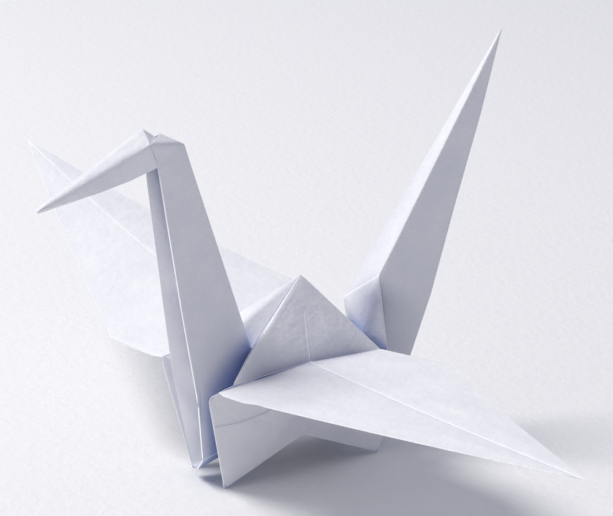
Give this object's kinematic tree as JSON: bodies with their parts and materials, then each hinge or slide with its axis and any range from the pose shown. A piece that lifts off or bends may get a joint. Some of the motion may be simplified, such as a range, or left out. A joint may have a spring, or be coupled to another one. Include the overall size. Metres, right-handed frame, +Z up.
{
  "type": "origami crane",
  "caption": "White origami crane folded from one square sheet, with raised neck and tail, puffed back and spread wings.",
  "frame": {"origin": "middle of the four belly points that it stands on, on the plane that they rest on, below the middle of the back", "axes": "+X towards the tail, -X towards the beak, +Y and -Y along the two wings, +Z up"},
  "size_m": [0.0844, 0.1564, 0.0673],
  "materials": {
    "paper": "matte"
  },
  "bodies": {
    "root": {"folded_sheet": "paper"}
  },
  "joints": []
}
